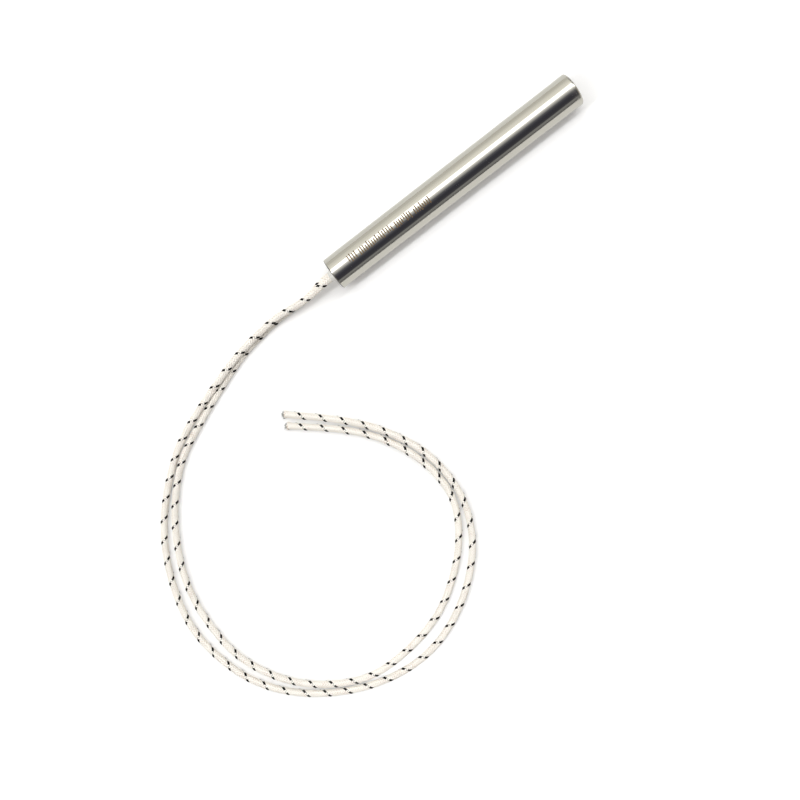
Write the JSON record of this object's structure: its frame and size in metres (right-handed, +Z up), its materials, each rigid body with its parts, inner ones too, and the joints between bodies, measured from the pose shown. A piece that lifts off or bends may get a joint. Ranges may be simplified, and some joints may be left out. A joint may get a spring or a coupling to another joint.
{
  "type": "cartridge heater",
  "caption": "Slim round steel cartridge heater with a welded closed end and two braided leads sealed into its mouth, lying in a loose loop.",
  "frame": {"origin": "on the surface it lies on, below the middle of the heater's own box, measured without the free leads", "axes": "+X along the heater's axis towards the closed end, +Z up, the leads' loop on the -Y side"},
  "size_m": [0.2621, 0.1586, 0.014],
  "materials": {
    "sheath_steel": "ground and polished stainless tube with fine marks along the axis",
    "weld_steel": "turned stainless disc with a ground run of weld",
    "magnesia": "matt pressed and fired magnesia",
    "magnesia_powder": "compacted powder, chalky",
    "resistance_alloy": "drawn wire with a dull grey oxide",
    "nickel": "drawn nickel, satin",
    "mica": "pressed mica with pale flakes",
    "glass_sleeving": "woven glass sleeving, matt",
    "tinned_copper": "tinned strands, satin",
    "potting": "cast pale grey potting, slightly glossy",
    "glass_braid": "cream braided glass yarn with one black tracer"
  },
  "bodies": {
    "root": {"sheath": "sheath_steel", "end_disc": "weld_steel", "end_spacer": "magnesia", "core_1": "magnesia", "core_2": "magnesia", "core_3": "magnesia", "core_4": "magnesia", "core_5": "magnesia", "resistance_wire": "resistance_alloy", "long_pin": "nickel", "short_pin": "nickel", "magnesia_fill": "magnesia_powder", "lead_bush": "magnesia", "mica_washer": "mica", "ferrule_a": "nickel", "ferrule_b": "nickel", "ferrule_sleeve_a": "glass_sleeving", "ferrule_sleeve_b": "glass_sleeving", "conductor_a": "tinned_copper", "conductor_b": "tinned_copper", "end_seal": "potting", "lead_a": "glass_braid", "lead_b": "glass_braid"}
  },
  "joints": []
}
